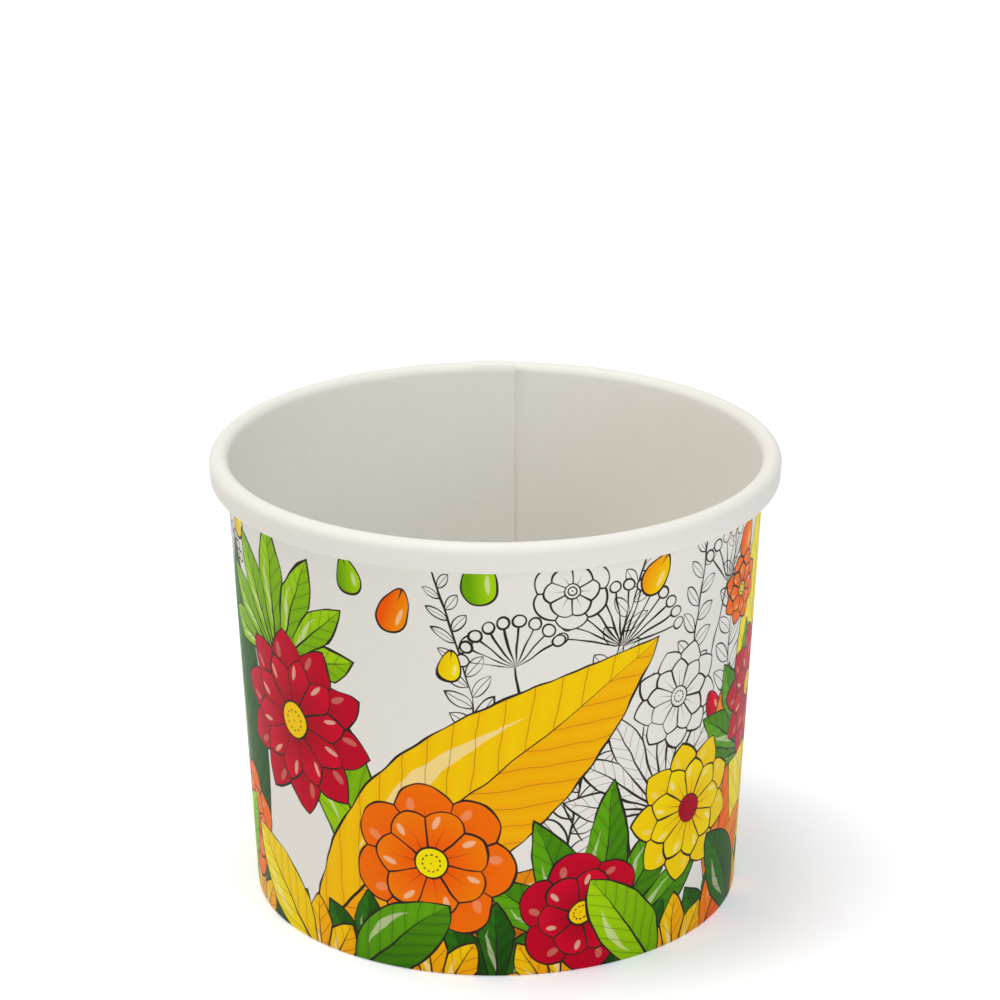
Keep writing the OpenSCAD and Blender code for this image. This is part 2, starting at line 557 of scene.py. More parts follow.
# The page of the second map, in points: where each strip starts, and how wide it is
page = 1024
margin = 8
round_length = 1004
half_length, half_up = 865, 500
wall_low, below_ground, points_per_mm = 10, 3, 5.8
strip_of = {"coated": (886, 60), "rim": (950, 34), "hem": (988, 16), "hidden": (1008, 8)}


def bake_place(part, angle, middle_angle, height):
    """Lays a corner on the page: the wall in two halves, one above the other, the rest beside."""
    if part == "wall":
        half = 0 if abs(middle_angle) <= math.pi / 2 else 1
        if half:
            angle = angle % math.tau
        x = margin + (angle / math.pi + 0.5 - half) * half_length
        y = wall_low + half * half_up + (height + below_ground) * points_per_mm
        return x / page, y / page
    left, width = strip_of[part]
    share = {
        "coated": (height - hem_start) / (roll_start - hem_start),
        "rim": (height - roll_start) / (sheet_end - roll_start),
        "hem": (height - print_end) / (hem_end - print_end),
        "hidden": 0.5,
    }[part]
    y = margin + (angle / math.tau + 0.5) * round_length
    return (left + share * width) / page, y / page


def part_of(sides, height):
    """The part of the page for a face, by the side it is on and its place along the sheet."""
    if sides == {1.0}:
        return "hem" if height < print_end else "wall" if height < roll_start else "hidden"
    if sides == {-1.0}:
        return "rim" if height > roll_start else "coated" if height > hem_start else "hidden"
    return "hidden"


for face in sheet.mesh.faces:
    rounds = [seam_column[v] for v in face.verts]
    across_front = max(rounds) - min(rounds) > columns / 2
    middle_column = columns / 2 if across_front else sum(rounds) / len(rounds)
    sides = {v[face_side] for v in face.verts}
    height = sum(v[along] for v in face.verts) / len(face.verts)
    part = part_of(sides, height)
    step_start = outer_edge if sides == {1.0} else inner_edge - 1
    at_step = step_start < middle_column < step_start + 1
    turns = [turn_from_front(v, middle_column) for v in face.verts]
    if max(turns) - min(turns) > math.pi:
        turns = [turn % math.tau for turn in turns]
    middle_turn = sum(turns) / len(turns)
    if len(sides) == 2 or at_step:
        face.material_index = cut_edge
    elif sides == {-1.0}:
        face.material_index = coated_side
    elif part == "wall":
        strip = math.floor((middle_turn * art_repeats / math.tau + 0.5) * art_strips)
        face.material_index = strip % art_strips
    else:
        face.material_index = unprinted
    for loop, angle in zip(face.loops, turns):
        level = loop.vert[along]
        right = angle * art_radius
        loop[flat_map].uv = (right, level - wall_start + wall_v + wrap_skew * right)
        loop[bake_map].uv = bake_place(part, angle, middle_turn, level)
    face.smooth = True


# %% [markdown]
# ## The raised base
# The base is a round of thinner board with its edge turned down into a skirt, which the fold
# grips. It is drawn and spun like the sheet. Its middle sags by a quarter of a millimetre, as a
# disc does that is held at its edge, and its underside is left uncoated.

# %% Draw the base's section and spin it
base = Section(0.0, base_up + base_t / 2, base_t, 0.0)
base.run(bend_x - 2, 12)
base.run(2, 2)
base.bend(-math.pi / 2 - slant, bend_mid_r, 10)
base.run(bend_v - skirt_v, 4)
base.outline(open_at_axis=True)
base.turn_about_axis(columns // 2)
base_sag, sag_radius = 0.25, 38.0
for vert in base.mesh.verts:
    radius = math.hypot(vert.co.x, vert.co.y)
    vert.co.z -= base_sag * max(0.0, 1 - (radius / sag_radius) ** 2) ** 2
base_top, base_under, base_edge = 0, 1, 2
for face in base.mesh.faces:
    sides = {v[base.notes["face"]] for v in face.verts}
    one_sided = base_top if sides == {-1.0} else base_under
    face.material_index = base_edge if len(sides) == 2 else one_sided
    face.smooth = True


# %% Make the finished pieces and tie them to the model
metres_per_mm = 0.001
sharp_angle = math.radians(42)


def finish_piece(section, name, replaced, paints):
    """Turns millimetres to metres and makes an object that stands for a solid."""
    bmesh.ops.scale(section.mesh, vec=[metres_per_mm] * 3, verts=section.mesh.verts)
    data = bpy.data.meshes.new(name)
    section.mesh.to_mesh(data)
    section.mesh.free()
    data.set_sharp_from_angle(angle=sharp_angle)
    for paint in paints:
        data.materials.append(paint)
    piece = add_object(name, data)
    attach(piece, "root")
    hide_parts(replaced)
    data.calc_loop_triangles()
    print(name + ":", len(data.loop_triangles), "triangles")


# %% [markdown]
# ## How a drawing is made of numbers
# The print could be a picture, but then it would blur close up and belong to one cup only. Here
# it is drawn by the material itself. Each motif is a distance: how far a point of the blank is
# from the motif's outline, in millimetres, less than zero inside it. Where the distance is
# below zero the motif's colour is laid over what was there, and where it is close to zero the
# black outline is drawn. Groups of nodes hold the motifs, so one leaf serves for many.

# %% Helpers for node groups
def blend_colours(share, below, above):
    """Lays one colour over another by a share from 0 to 1."""
    made = node(tree_of(share), "ShaderNodeMix", {"data_type": "RGBA"})
    for value, number in ((share, 0), (below, 6), (above, 7)):
        feed(value, made.inputs[number])
    return made.outputs[2]


def new_group(name, inputs, outputs):
    """A node group with named sockets. Returns it, with its inner ends."""
    kinds = {"colour": "NodeSocketColor", "number": "NodeSocketFloat", "place": "NodeSocketVector"}
    group = bpy.data.node_groups.new(name, "ShaderNodeTree")
    for side, sockets in (("INPUT", inputs), ("OUTPUT", outputs)):
        for label, kind in sockets:
            group.interface.new_socket(name=label, in_out=side, socket_type=kinds[kind])
    start = group.nodes.new("NodeGroupInput")
    end = group.nodes.new("NodeGroupOutput")
    return group, start.outputs, end.inputs


def use_group(tree, group, **values):
    """Places a group, feeds its inputs and gives its outputs."""
    return node(tree, "ShaderNodeGroup", {"node_tree": group}, **values).outputs


def ink(red, green, blue):
    """A colour as it is picked on a screen, from 0 to 255, turned into light."""
    parts = (red / 255, green / 255, blue / 255)
    light = [c / 12.92 if c <= 0.04045 else ((c + 0.055) / 1.055) ** 2.4 for c in parts]
    return (*light, 1.0)


coated = ink(241, 239, 233)

# %% Place a motif on the blank
art_repeat = math.tau * art_radius / art_repeats
soft_edge = 0.09  # the edge of a print fades over this many millimetres
no_repeat = 1000.0


def numbers(*labels):
    """Sockets that take a number."""
    return [(label, "number") for label in labels]


BELOW = [("Below", "colour")]
PLACE = [("Blank", "place"), *numbers("Right", "Up", "Turn", "Repeat")]
place_motif, given, result = new_group("place_motif", PLACE, numbers("Along", "Across"))
tree = place_motif
corner = node(tree, "ShaderNodeCombineXYZ", X=given["Right"], Y=given["Up"]).outputs[0]
moved = calc_place("SUBTRACT", given["Blank"], corner)["Vector"]
# A motif is drawn again at each repeat round the cup, but only once from the foot to the rim.
half_repeat = times(given["Repeat"], 0.5)
high_end = node(tree, "ShaderNodeCombineXYZ", X=half_repeat, Y=no_repeat, Z=1.0).outputs[0]
low_end = calc_place("MULTIPLY", high_end, (-1.0, -1.0, -1.0))["Vector"]
wrapped = calc_place("WRAP", moved, high_end, low_end)["Vector"]
turn = calc("RADIANS", given["Turn"])
level = calc("COSINE", turn)
rise = calc("SINE", turn)
fall = times(rise, -1.0)
for name, right, up in (("Along", level, rise), ("Across", fall, level)):
    direction = node(tree, "ShaderNodeCombineXYZ", X=right, Y=up).outputs[0]
    feed(calc_place("DOT_PRODUCT", wrapped, direction)["Value"], result[name])


# %% The waver and the pressure of a hand that draws
# A slow noise moves each line aside by up to half a millimetre, and makes it thinner or thicker.
HAND = [("Blank", "place")]
drawing_hand, given, result = new_group("drawing_hand", HAND, HAND + numbers("Pressure"))
tree = drawing_hand
waver_scale = 0.15
waver_size = (1.3, 1.3, 0.0)
wander = node(tree, "ShaderNodeTexNoise", Vector=given["Blank"], Scale=waver_scale, Detail=1.0)
from_middle = calc_place("SUBTRACT", wander.outputs["Color"], (0.5, 0.5, 0.5))["Vector"]
wavered = calc_place("MULTIPLY_ADD", from_middle, waver_size, given["Blank"])
feed(wavered["Vector"], result["Blank"])
feed(times_plus(wander.outputs["Fac"], 2.6, -0.3), result["Pressure"])


# %% Distances: a pointed oval, a round one, and the border of a slice of a circle
def length_of(x, y):
    """The distance from the origin to x, y."""
    squared = times(x, x)
    return calc("SQRT", times_plus(y, y, squared))


def pointed_oval(x, y, length, width):
    """Two arcs that meet at both ends. x starts at one end, and y is from the middle line."""
    a = times(length, 0.5)
    b = times(width, 0.5)
    squares = calc("ADD", times(a, a), times(b, b))
    arc = over(squares, times(b, 2.0))
    side = calc("ADD", calc("ABSOLUTE", y), minus(arc, b))
    return minus(length_of(minus(x, a), side), arc)


def round_oval(x, y, length, width):
    """An ellipse. x starts at one end."""
    a = times(length, 0.5)
    b = times(width, 0.5)
    share_x = over(minus(x, a), a)
    reach = length_of(share_x, over(y, b))
    return times(minus(reach, 1.0), b)


def slice_border(reach, angle, slice_angle):
    """Distance to the two straight sides of a slice, less than zero between them."""
    left_over = minus(calc("ABSOLUTE", angle), slice_angle)
    return times(reach, calc("SINE", left_over))


def polar(x, y):
    """A place as its reach from the origin and its angle."""
    return length_of(x, y), calc("ARCTAN2", y, x)


def line_mask(distance, half_width):
    """1 on a line of that half width, 0 away from it, with a soft edge."""
    gap = minus(half_width, calc("ABSOLUTE", distance))
    return times_plus(gap, 1 / soft_edge, 0.5, clamp=True)


def inside_mask(distance):
    """1 inside an outline, 0 outside it, with a soft edge."""
    return times_plus(distance, -1 / soft_edge, 0.5, clamp=True)


def from_polar(reach, angle):
    """A place given by its reach and angle, as x and y."""
    x = times(reach, calc("COSINE", angle))
    return x, times(reach, calc("SINE", angle))


# %% Lay a motif over what is printed below it
LAY = [*BELOW, ("Fill", "colour"), *numbers("Distance", "Detail", "Line")]
COLOUR = [("Colour", "colour")]
lay_motif, given, result = new_group("lay_motif", LAY, COLOUR)
black_ink = ink(42, 37, 31)
inside = inside_mask(given["Distance"])
outline = line_mask(given["Distance"], times(given["Line"], 0.5))
drawn = calc("MAXIMUM", outline, times(given["Detail"], inside))
filled = blend_colours(inside, given["Below"], given["Fill"])
feed(blend_colours(drawn, filled, black_ink), result["Colour"])


def lay(given, below, fill, distance, detail):
    """Places the group above in a motif's own group, and gives its colour."""
    line = given["Line"]
    tree = tree_of(line)
    laid = use_group(
        tree, lay_motif, Below=below, Fill=fill, Distance=distance, Detail=detail, Line=line
    )
    return laid["Colour"]


# %% [markdown]
# ## The motifs
# The artwork is a garden of plain shapes: single leaves, fans of blades, flowers with pointed or
# round petals, and finer plants drawn in black line only. A fan or a flower needs no more nodes
# than one leaf, because the circle is cut into equal slices and every slice shows the same
# petal. The shading is what an illustrator would lay down: a lit half, a darker half, a rib.

# %% A single leaf
TONES = [("Light", "colour"), ("Dark", "colour"), *numbers("Glint", "Line")]
LEAF = [*BELOW, *PLACE, *numbers("Length", "Width", "Bend", "Vein"), *TONES]
leaf, given, result = new_group("leaf", LEAF, COLOUR)


def placed(given):
    """The motif's own directions, along and across, in millimetres."""
    spot = {name: given[name] for name, _ in PLACE}
    found = use_group(tree_of(*spot.values()), place_motif, **spot)
    return found["Along"], found["Across"]


def bent(given, x, y):
    """Bends the motif's middle line to the side, more and more towards its end."""
    sag = times(times(x, x), given["Bend"])
    return calc("ADD", y, over(sag, given["Length"]))


pale_glint = ink(255, 250, 215)
# Half widths of the rib and of a vein, in millimetres. A vein is printed in thinner ink.
rib_at_foot, rib_at_tip = 0.3, 0.02
vein_half, vein_ink, vein_slant = 0.09, 0.62, 1.25


def shade_blade(given, x, y, length, distance, below):
    """Fills a blade with a lit half, a darker half and a glint, and draws a rib and veins."""
    # One half is lit, the other is darker, and the blade gets lighter towards its tip.
    up_blade = over(x, length)
    lit_half = times_plus(y, 1.1, 0.45, clamp=True)
    lit = times_plus(up_blade, 0.4, times(lit_half, 0.5))
    rib_half = times_plus(up_blade, rib_at_tip - rib_at_foot, rib_at_foot)
    rib = line_mask(y, rib_half)
    # Slanted lines at equal distances are the veins, and the ink between them is a bit lighter.
    slanted = times_plus(calc("ABSOLUTE", y), -vein_slant, x)
    vein_place = calc("PINGPONG", slanted, times(given["Vein"], 0.5))
    lit = times_plus(vein_place, 0.09, lit, clamp=True)
    fill = blend_colours(lit, given["Dark"], given["Light"])
    # The glint is a sliver on the lit half, a fifth of the width in from the edge.
    glint_width = times_plus(calc("PINGPONG", up_blade, 0.5), 0.3, -0.08)
    inward = calc("ABSOLUTE", times_plus(given["Width"], 0.2, distance))
    glint_width = times(given["Width"], glint_width)
    glint = inside_mask(minus(inward, glint_width))
    glint = times(glint, calc("GREATER_THAN", y, 0.0))
    fill = blend_colours(times(glint, given["Glint"]), fill, pale_glint)
    vein = times(line_mask(vein_place, vein_half), vein_ink)
    detail = calc("MAXIMUM", rib, vein)
    return lay(given, below, fill, distance, detail)


x, y = placed(given)
y = bent(given, x, y)
edge = pointed_oval(x, y, given["Length"], given["Width"])
feed(shade_blade(given, x, y, given["Length"], edge, given["Below"]), result["Colour"])

# %% A fan of blades that grow from one point
BLADES = numbers("Length", "Width", "Blades", "Spacing", "Shorter", "Vein")
FAN = [*BELOW, *PLACE, *BLADES, *TONES]
fan, given, result = new_group("fan", FAN, COLOUR)
x, y = placed(given)
reach, angle = polar(x, y)
spacing = calc("RADIANS", given["Spacing"])
# The blades are numbered from the middle one, and the outer ones are shorter.
last = times_plus(given["Blades"], 0.5, -0.5)
number = calc("ROUND", over(angle, spacing))
number = calc("MAXIMUM", number, times(last, -1.0))
number = calc("MINIMUM", number, last)
angle = minus(angle, times(number, spacing))
x, y = from_polar(reach, angle)
outer = times(calc("ABSOLUTE", number), given["Shorter"])
length = minus(given["Length"], outer)
edge = pointed_oval(x, y, length, given["Width"])
border = slice_border(reach, angle, times(spacing, 0.5))
edge = calc("MAXIMUM", edge, border)
feed(shade_blade(given, x, y, length, edge, given["Below"]), result["Colour"])


# %% Flowers: two rows of petals round a heart
def petal_row(reach, angle, petals, shift, length, width, petal_shape):
    """The distance to a row of equal petals, and the place beside a petal's middle line."""
    slice_angle = over(math.tau, petals)
    half_slice = times(slice_angle, 0.5)
    start = times(half_slice, -1.0)
    shifted = times_plus(slice_angle, shift, angle)
    local = calc("WRAP", shifted, half_slice, start)
    x, y = from_polar(reach, local)
    shape = petal_shape(x, y, length, width)
    return calc("MAXIMUM", shape, slice_border(reach, local, half_slice)), y


FLOWER = [*BELOW, *PLACE, *numbers("Radius", "Petals", "Petal width"), ("Heart", "colour"), *TONES]
heart_share = 0.2
dots_round, dot_ring = 11, 0.055
dot_half, dot_length = 0.13, 0.22


def make_flower(name, petal_shape, front_share):
    """A flower group, with pointed or with round petals. The front row is the shorter one."""
    group, given, result = new_group(name, FLOWER, COLOUR)
    x, y = placed(given)
    reach, angle = polar(x, y)
    radius = given["Radius"]
    out = over(reach, radius)
    colour = given["Below"]
    # The share of a slice by which a row is turned, its share of the radius, and its light
    rows = ((0.5, 1.0, 0.35), (0.0, front_share, 1.0))
    for shift, share, light in rows:
        length = times(radius, share)
        width = times(given["Petal width"], share)
        edge, beside = petal_row(reach, angle, given["Petals"], shift, length, width, petal_shape)
        # A petal gets lighter from the heart to its end.
        lit = times(times_plus(out, 1.3, -0.25, clamp=True), light)
        fill = blend_colours(lit, given["Dark"], given["Light"])
        # The glint is a small oval beside the petal's middle line, three quarters of the way out.
        along_glint = times_plus(out, 11.0, -8.3 * share)
        beside_glint = over(beside, width)
        beside_glint = times_plus(beside_glint, 14.0, -2.6)
        glint = length_of(along_glint, beside_glint)
        glint = times_plus(glint, -5.0, 5.0, clamp=True)
        glint = times(times(glint, given["Glint"]), light)
        fill = blend_colours(glint, fill, pale_glint)
        # A stripe runs out from the heart and has thinned to nothing after two thirds.
        stripe_half = times_plus(out, -0.24, 0.16 * share)
        stripe = line_mask(beside, stripe_half)
        colour = lay(given, colour, fill, edge, stripe)
    # The heart is a disc with rings of dots, made where rings and rays cross.
    heart_edge = times_plus(radius, -heart_share, reach)
    ring = calc("PINGPONG", reach, times(radius, dot_ring))
    round_ring = times(calc("PINGPONG", angle, math.pi / dots_round), reach)
    dotted = line_mask(round_ring, dot_length)
    dotted = times(line_mask(ring, dot_half), dotted)
    colour = lay(given, colour, given["Heart"], heart_edge, dotted)
    feed(colour, result["Colour"])
    return group


pointed_flower = make_flower("pointed_flower", pointed_oval, 0.72)
round_flower = make_flower("round_flower", round_oval, 0.7)

# %% A loose petal
PETAL = [*BELOW, *PLACE, *numbers("Length", "Width"), *TONES]
loose_petal, given, result = new_group("loose_petal", PETAL, COLOUR)
x, y = placed(given)
# The petal is an oval that is narrow at its start and wide at its end.
taper = over(x, given["Length"])
wide = times_plus(taper, 0.55, 0.62)
edge = round_oval(x, over(y, wide), given["Length"], given["Width"])
lit = times_plus(y, 0.3, 0.5, clamp=True)
fill = blend_colours(lit, given["Dark"], given["Light"])
# The glint is a small oval: its start and size are shares of the petal's length and width.
glint_x = times_plus(given["Length"], -0.42, x)
glint_y = times_plus(given["Width"], -0.22, y)
glint_length = times(given["Length"], 0.36)
glint_width = times(given["Width"], 0.14)
glint = round_oval(glint_x, glint_y, glint_length, glint_width)
glint = times(inside_mask(glint), given["Glint"])
fill = blend_colours(glint, fill, pale_glint)
crease = line_mask(y, times_plus(taper, -0.6, 0.18))
feed(lay(given, given["Below"], fill, edge, crease), result["Colour"])

# %% A twig drawn in line, with leaves on both sides in turn
LEAVES_OF_TWIG = numbers("Length", "Bend", "Leaf length", "Leaf width", "Spacing", "Line")
twig, given, result = new_group("twig", [*BELOW, *PLACE, *LEAVES_OF_TWIG], COLOUR)
lean = 0.82  # radians between a leaf and the stem
tip_shrink, rib_half = 0.55, 0.08
x, y = placed(given)
y = bent(given, x, y)
from_stem = calc("ABSOLUTE", y)
half_line = times(given["Line"], 0.5)
up_twig = over(x, given["Length"])
half_gap = times(given["Spacing"], 0.5)
# The leaves on one side start half a spacing farther up, and all get smaller towards the tip.
other_side = calc("GREATER_THAN", y, 0.0)
shifted = times_plus(other_side, half_gap, x)
slanted = times_plus(from_stem, -1 / math.tan(lean), shifted)
local = calc("WRAP", slanted, half_gap, times(half_gap, -1.0))
size = times_plus(up_twig, -tip_shrink, 1.0)
along_leaf = over(over(from_stem, math.sin(lean)), size)
beside_leaf = over(times(local, math.sin(lean)), size)
along_leaf = times_plus(local, math.cos(lean), along_leaf)
edge = pointed_oval(along_leaf, beside_leaf, given["Leaf length"], given["Leaf width"])
drawn = line_mask(edge, half_line)
inner = inside_mask(edge)
vein = times(line_mask(beside_leaf, rib_half), inner)
drawn = calc("MAXIMUM", drawn, vein)
# A leaf is drawn only where its foot is on the stem and its head is below the stem's tip.
leaf_foot = minus(slanted, local)
leaf_head = calc("ADD", leaf_foot, half_gap)
above_start = calc("GREATER_THAN", leaf_foot, 0.0)
below_tip = calc("LESS_THAN", leaf_head, given["Length"])
whole = times(above_start, below_tip)
below = blend_colours(times(inner, whole), given["Below"], coated)
drawn = times(drawn, whole)
stem_edge = minus(x, given["Length"])
stem = times(line_mask(y, half_line), inside_mask(stem_edge))
stem = times(stem, calc("GREATER_THAN", x, 0.0))
drawn = calc("MAXIMUM", drawn, stem)
feed(blend_colours(drawn, below, black_ink), result["Colour"])

# %% An umbel drawn in line: rays that each end in a small ring, on a stem
RAYS = numbers("Radius", "Spacing", "Spread", "Stem", "Line")
umbel, given, result = new_group("umbel", [*BELOW, *PLACE, *RAYS], COLOUR)
ring_share = 0.8  # of the room between two rays
stem_curve = 0.004
x, y = placed(given)
reach, angle = polar(x, y)
half_line = times(given["Line"], 0.5)
spacing = calc("RADIANS", given["Spacing"])
half_slice = times(spacing, 0.5)
local = calc("WRAP", angle, half_slice, times(half_slice, -1.0))
ray_x, ray_y = from_polar(reach, local)
ring = times(calc("SINE", half_slice), given["Radius"])
ring = times(ring, ring_share)
ring_edge = length_of(minus(ray_x, given["Radius"]), ray_y)
ring_edge = minus(ring_edge, ring)
ray_end = minus(calc("ADD", ray_x, ring), given["Radius"])
# A ray is thin in the middle of the umbel, and has its full width farther out.
thinner = times_plus(ray_x, 0.05, times(half_line, 0.1))
ray = line_mask(ray_y, calc("MINIMUM", thinner, half_line))
ray = times(ray, inside_mask(ray_end))
drawn = calc("MAXIMUM", ray, line_mask(ring_edge, half_line))
wide = minus(calc("ABSOLUTE", angle), calc("RADIANS", given["Spread"]))
spread = calc("LESS_THAN", wide, 0.0)
drawn = times(drawn, spread)
covered = times(inside_mask(ring_edge), spread)
below = blend_colours(covered, given["Below"], coated)
stem_far = minus(times(x, -1.0), given["Stem"])
stem_bend = times_plus(times(x, x), stem_curve, y)
stem = times(line_mask(stem_bend, half_line), inside_mask(stem_far))
stem = times(stem, inside_mask(x))
drawn = calc("MAXIMUM", drawn, stem)
feed(blend_colours(drawn, below, black_ink), result["Colour"])

# %% [markdown]
# ## The board
# Cup board is white, but never one white: its fibres make faint clouds and a very fine tooth.
# One group gives both for every face of the cup. The printed face is varnished to a satin, the
# inside and the rim carry a dull film of plastic, and cut edges and the underside are bare
# board, rough and a little warmer.

# %% The board's clouds and tooth
BOARD = [("Tone", "colour"), *numbers("Clouds", "Tooth size")]
board, given, result = new_group("board", BOARD, COLOUR + numbers("Height"))
tree = board
spot = node(tree, "ShaderNodeTexCoord").outputs["Object"]
cloud_scale = 420.0  # clouds of about 2 mm
clouds = node(
    tree, "ShaderNodeTexNoise", Vector=spot, Scale=cloud_scale, Detail=4.0, Roughness=0.62
)
tooth = node(tree, "ShaderNodeTexNoise", Vector=spot, Scale=given["Tooth size"], Detail=3.0)
centred = minus(clouds.outputs["Fac"], 0.5)
level = times_plus(centred, given["Clouds"], 1.0)
tinted = node(tree, "ShaderNodeVectorMath", {"operation": "SCALE"}, Scale=level)
feed(given["Tone"], tinted.inputs[0])
feed(tinted.outputs[0], result["Colour"])
feed(tooth.outputs["Fac"], result["Height"])


def board_paint(name, tone, clouds, tooth_size, depth, roughness, gloss):
    """A material for a face of the board. Returns it with its colour and shader."""
    paint = bpy.data.materials.new(name)
    paint.use_nodes = True
    tree = paint.node_tree
    shader = tree.nodes["Principled BSDF"]
    surface = use_group(tree, board, Tone=tone, Clouds=clouds, Tooth_size=tooth_size)
    feed(surface["Colour"], shader.inputs["Base Color"])
    relief = node(tree, "ShaderNodeBump", Height=surface["Height"], Strength=1.0, Distance=depth)
    feed(relief.outputs[0], shader.inputs["Normal"])
    shader.inputs["Roughness"].default_value = roughness
    shader.inputs["Specular IOR Level"].default_value = gloss
    return paint, surface["Colour"], shader


bare = ink(236, 231, 220)
# name, tone, clouds, tooth size, depth of the tooth in metres, roughness, gloss
coat_paint, _, _ = board_paint("coated_board", coated, 0.05, 2600.0, 0.000012, 0.56, 0.34)
edge_paint, _, _ = board_paint("cut_board_edge", bare, 0.16, 5200.0, 0.00004, 0.8, 0.3)
bare_paint, _, _ = board_paint("bare_board", bare, 0.09, 3200.0, 0.00002, 0.7, 0.3)
blank_paint, _, _ = board_paint("unprinted_board", coated, 0.045, 3000.0, 0.000012, 0.5, 0.25)

# %% [markdown]
# ## The artwork's plan
# The motifs are laid one over another, from the back to the front: first the fine line plants on
# the white ground, then loose petals, then leaves and flowers, and last the low foliage that
# hides the stems. Places are in millimetres on the blank, with 0 at the front and at the ground.
# The plan repeats twice round the cup.

# %% The inks
golden = (ink(255, 210, 0), ink(252, 160, 0))
yellow = (ink(255, 236, 0), ink(250, 202, 0))
orange = (ink(255, 148, 0), ink(250, 92, 0))
crimson = (ink(240, 6, 52), ink(178, 0, 34))
lime = (ink(168, 218, 8), ink(110, 170, 0))
green = (ink(100, 172, 12), ink(46, 106, 6))
deep_green = (ink(46, 116, 16), ink(16, 62, 8))
amber = (ink(240, 152, 16), ink(180, 86, 0))
line_only = (coated, coated)

# %% The plan, from the back to the front
TWIGS = [
    ("Right", "Up", "Turn", "Length", "Bend", "Leaf_length", "Leaf_width", "Spacing"),
    (11, 16, 82, 62, 0.10, 8.5, 3.8, 5.2),
    (30, 22, 78, 58, -0.06, 8.0, 3.4, 4.8),
    (48, 26, 94, 52, 0.05, 8.5, 3.6, 5.2),
    (-2, 40, 98, 38, -0.10, 6.5, 2.6, 4.0),
    (-66, 40, 92, 38, 0.08, 6.5, 2.6, 4.0),
]
UMBELS = [
    ("Right", "Up", "Turn", "Radius", "Spacing", "Spread", "Stem"),
    (21, 59, 86, 11.0, 13, 84.5, 44),
    (45, 64, 68, 9.0, 16, 72, 40),
    (3, 57, 102, 8.5, 17, 76.5, 34),
    (-61, 61, 96, 8.0, 16, 72, 30),
]
LINE_FANS = [
    ("Right", "Up", "Turn", "Length", "Width", "Blades", "Spacing", "Shorter", "Vein", "Inks"),
    (30, 27, 96, 26, 6.0, 7, 23, 2.2, 2.4, line_only),
]
LINE_FLOWERS = [
    ("Group", "Right", "Up", "Turn", "Radius", "Petals", "Petal_width", "Heart", "Inks"),
    (pointed_flower, 33, 47, 10, 9.5, 9, 6.4, coated, line_only),
    (round_flower, 12, 70, 0, 6.5, 6, 6.2, coated, line_only),
]
PETALS = [
    ("Right", "Up", "Turn", "Length", "Width", "Inks"),
    (-15, 70, 250, 8.0, 5.6, orange),
    (-3, 77, 275, 8.5, 6.2, lime),
    (-7, 60, 262, 5.5, 4.0, yellow),
    (29, 74, 240, 7.5, 5.2, golden),
    (41, 45, 300, 6.0, 4.6, crimson),
    (53, 74, 255, 8.0, 5.4, orange),
    (-56, 76, 285, 7.6, 5.4, yellow),
    (-25, 74, 280, 6.5, 4.8, lime),
]
LEAVES = [
    ("Right", "Up", "Turn", "Length", "Width", "Bend", "Vein", "Inks"),
    (-53, 2, 100, 66, 18, 0.10, 4.4, deep_green),
    (-20, 12, 108, 52, 14, -0.12, 4.0, lime),
    (-20, -2, 36, 50, 16, 0.18, 4.2, amber),
    (-36, 0, 52, 86, 25, 0.16, 5.8, golden),
    (46, 2, 80, 46, 15, -0.14, 4.0, orange),
    (63, -4, 97, 84, 20, 0.10, 5.2, yellow),
]
FANS = [
    ("Right", "Up", "Turn", "Length", "Width", "Blades", "Spacing", "Shorter", "Vein", "Inks"),
    (-42, 50, 92, 26, 7.4, 7, 25, 2.4, 3.0, lime),
    (18, 2, 86, 33, 9.0, 5, 27, 3.4, 3.4, green),
    (57, 29, 94, 25, 7.6, 7, 26, 2.2, 3.0, green),
]
HEDGES = [
    # These fans stand six times in each repeat.
    ("Right", "Up", "Turn", "Length", "Width", "Blades", "Spacing", "Shorter", "Vein", "Inks"),
    (0, -5, 90, 19, 7.4, 5, 30, 2.0, 2.8, deep_green),
    (11.5, -7, 90, 17, 7.4, 5, 31, 1.6, 2.8, golden),
]
FLOWERS = [
    ("Group", "Right", "Up", "Turn", "Radius", "Petals", "Petal_width", "Heart", "Inks"),
    (pointed_flower, -38, 41, 8, 16.5, 10, 9.2, golden[0], crimson),
    (round_flower, -11, 21, 20, 14.5, 7, 11.8, yellow[0], orange),
    (pointed_flower, 37, 25, 0, 13.0, 9, 8.4, crimson[1], yellow),
    (pointed_flower, 60, 40, 12, 12.5, 10, 7.2, golden[0], crimson),
    (round_flower, 15, 11, 10, 11.5, 6, 10.4, golden[0], crimson),
    (round_flower, -59, 15, 0, 11.0, 7, 9.2, crimson[1], orange),
    (pointed_flower, 51, 61, 0, 6.5, 8, 4.6, yellow[0], orange),
]
LOW_LEAVES = [
    ("Right", "Up", "Turn", "Length", "Width", "Bend", "Vein", "Inks"),
    (-70, -2, 66, 26, 11, 0.12, 3.4, lime),
    (-36, -2, 128, 26, 12, -0.14, 3.4, yellow),
    (-26, -3, 50, 24, 12, 0.14, 3.4, green),
    (30, -3, 118, 24, 11, -0.12, 3.2, lime),
    (43, -2, 56, 26, 12, 0.12, 3.2, orange),
    (57, -2, 116, 24, 11, -0.14, 3.2, deep_green),
]

# %% [markdown]
# ## The order of work for the artwork
# Every point of the wall would have to work through every motif, and most of them are nowhere
# near it. So the repeat is cut into six upright strips, each with a material of its own that
# holds only the motifs that reach into it. The strips meet where the shell has a column of
# points, and since all draw the same plan, no border shows.

# %% Turn the plan into one list of motifs
strip_width = art_repeat / art_strips
hedge_repeats = 6
leaf_line, flower_line, petal_line = 0.34, 0.32, 0.3
twig_line, umbel_line = 0.32, 0.32
glint_strength = 0.42
umbel_around = 8
artwork = []


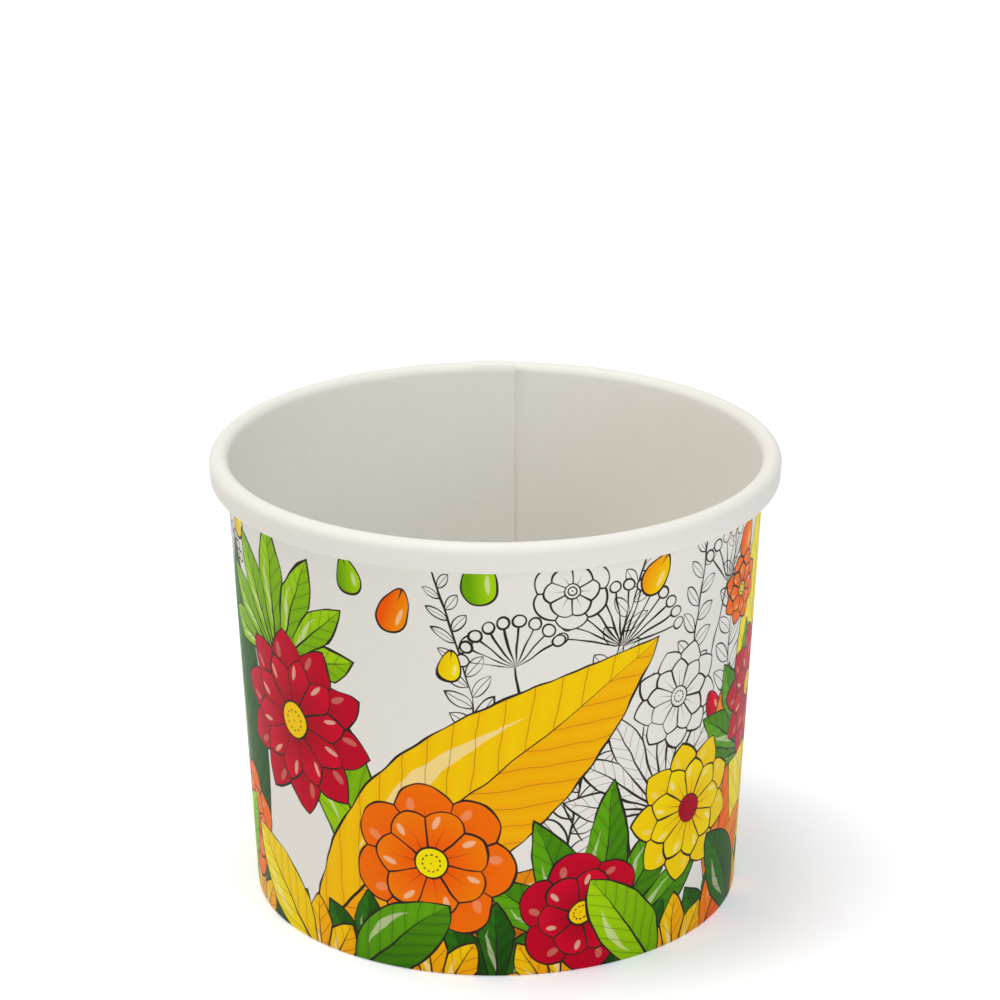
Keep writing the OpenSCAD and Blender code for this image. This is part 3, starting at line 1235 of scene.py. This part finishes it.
def add_motif(group, row, line, around, ahead=0.0, behind=0.0, repeat=art_repeat):
    """Notes a motif, and how far to the left and right of its start it reaches."""
    run = math.cos(math.radians(row["Turn"]))
    ends = (run * ahead, -run * behind, 0.0)
    span = (row["Right"] + min(ends) - around, row["Right"] + max(ends) + around)
    if repeat < art_repeat:
        span = (-art_repeat, art_repeat)
    inks = row.pop("Inks", None)
    if inks:
        # Motifs in line only have no glint.
        glint = 0.0 if inks is line_only else glint_strength
        row.update(Light=inks[0], Dark=inks[1], Glint=glint)
    artwork.append((group, span, dict(row, Line=line, Repeat=repeat)))


def rows_of(plan):
    """The rows of a table, each with the names from the table's first row."""
    names, *rows = plan
    return [dict(zip(names, row)) for row in rows]


def add_leaves(plan):
    for row in rows_of(plan):
        around = row["Width"] / 2 + abs(row["Bend"]) * row["Length"]
        add_motif(leaf, row, leaf_line, around, ahead=row["Length"])


def add_fans(plan, repeat=art_repeat):
    for row in rows_of(plan):
        add_motif(fan, row, leaf_line, row["Length"], repeat=repeat)


def add_flowers(plan):
    for row in rows_of(plan):
        add_motif(row.pop("Group"), row, flower_line, row["Radius"])


for row in rows_of(TWIGS):
    around = row["Leaf_length"] + abs(row["Bend"]) * row["Length"]
    add_motif(twig, row, twig_line, around, ahead=row["Length"])
for row in rows_of(UMBELS):
    around = row["Radius"] * 1.2 + umbel_around
    add_motif(umbel, row, umbel_line, around, behind=row["Stem"])
add_fans(LINE_FANS)
add_flowers(LINE_FLOWERS)
for row in rows_of(PETALS):
    add_motif(loose_petal, row, petal_line, row["Width"], ahead=row["Length"])
add_leaves(LEAVES)
add_fans(FANS)
add_fans(HEDGES, art_repeat / hedge_repeats)
add_flowers(FLOWERS)
add_leaves(LOW_LEAVES)
print("motifs in one repeat:", len(artwork))


# %% One material for each strip
print_below_fold = 2.0
strip_margin = 0.5


def touches(span, strip):
    """True where a motif reaches into a strip, also from the next repeat."""
    left = -art_repeat / 2 + strip * strip_width - strip_margin
    right = left + strip_width + 2 * strip_margin
    shifts = (-art_repeat, 0.0, art_repeat)
    return any(span[0] + shift < right and span[1] + shift > left for shift in shifts)


def print_strip(strip):
    """Lays the motifs of one strip over the white board."""
    name = f"printed_board_{strip + 1}"
    paint, art, shader = board_paint(name, coated, 0.045, 3000.0, 0.000012, 0.44, 0.07)
    tree = paint.node_tree
    blank = node(tree, "ShaderNodeUVMap", {"uv_map": "Blank"}).outputs[0]
    hand = use_group(tree, drawing_hand, Blank=blank)
    paper = art
    laid = 0
    for group, span, values in artwork:
        if touches(span, strip):
            line = times(hand["Pressure"], values["Line"])
            drawn = dict(values, Blank=hand["Blank"], Line=line)
            art = use_group(tree, group, Below=art, **drawn)["Colour"]
            laid += 1
    down = calc_place("DOT_PRODUCT", blank, (0.0, -1.0, 0.0))["Value"]
    below_print = minus(down, print_below_fold)
    art = blend_colours(inside_mask(below_print), paper, art)
    feed(art, shader.inputs["Base Color"])
    return paint, laid


print_paints, counts = zip(*(print_strip(strip) for strip in range(art_strips)))
print("motifs in each strip:", counts)

# %% Make the two pieces
sheet_paints = [*print_paints, blank_paint, coat_paint, edge_paint]
base_paints = [coat_paint, bare_paint, edge_paint]
finish_piece(sheet, "printed_sidewall", "sidewall", sheet_paints)
finish_piece(base, "raised_base", "base_disc", base_paints)
